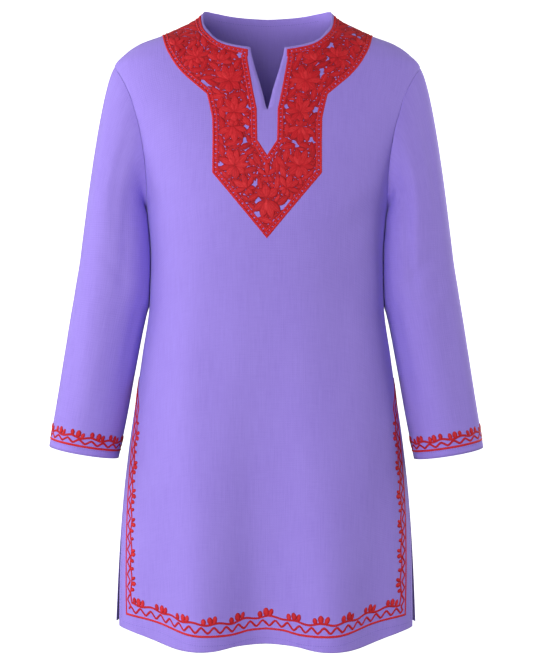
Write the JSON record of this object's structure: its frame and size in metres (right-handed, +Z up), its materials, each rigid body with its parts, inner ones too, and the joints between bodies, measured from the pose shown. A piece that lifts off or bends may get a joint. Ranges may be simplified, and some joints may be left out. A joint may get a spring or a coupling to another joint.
{
  "type": "kurta tunic",
  "caption": "Straight knee-length kurta tunic with an embroidered yoke, a slit neck, long set-in sleeves and open side slits, filled out as worn with nobody in it",
  "frame": {"origin": "midway between the two high points of the neck, where the garment rests on the shoulders", "axes": "+Z up along the garment's length, -Y out of its front, +X towards the wearer's left sleeve"},
  "size_m": [0.6154, 0.2658, 0.8845],
  "materials": {
    "cotton": "matte plain-woven cotton with faint upright slubs, lavender",
    "embroidery_thread": "soft-lustre red embroidery thread, satin and chain stitch"
  },
  "bodies": {
    "root": {"front": "cotton", "back": "cotton", "sleeve_left": "cotton", "sleeve_right": "cotton", "neck_embroidery": "embroidery_thread"}
  },
  "joints": []
}
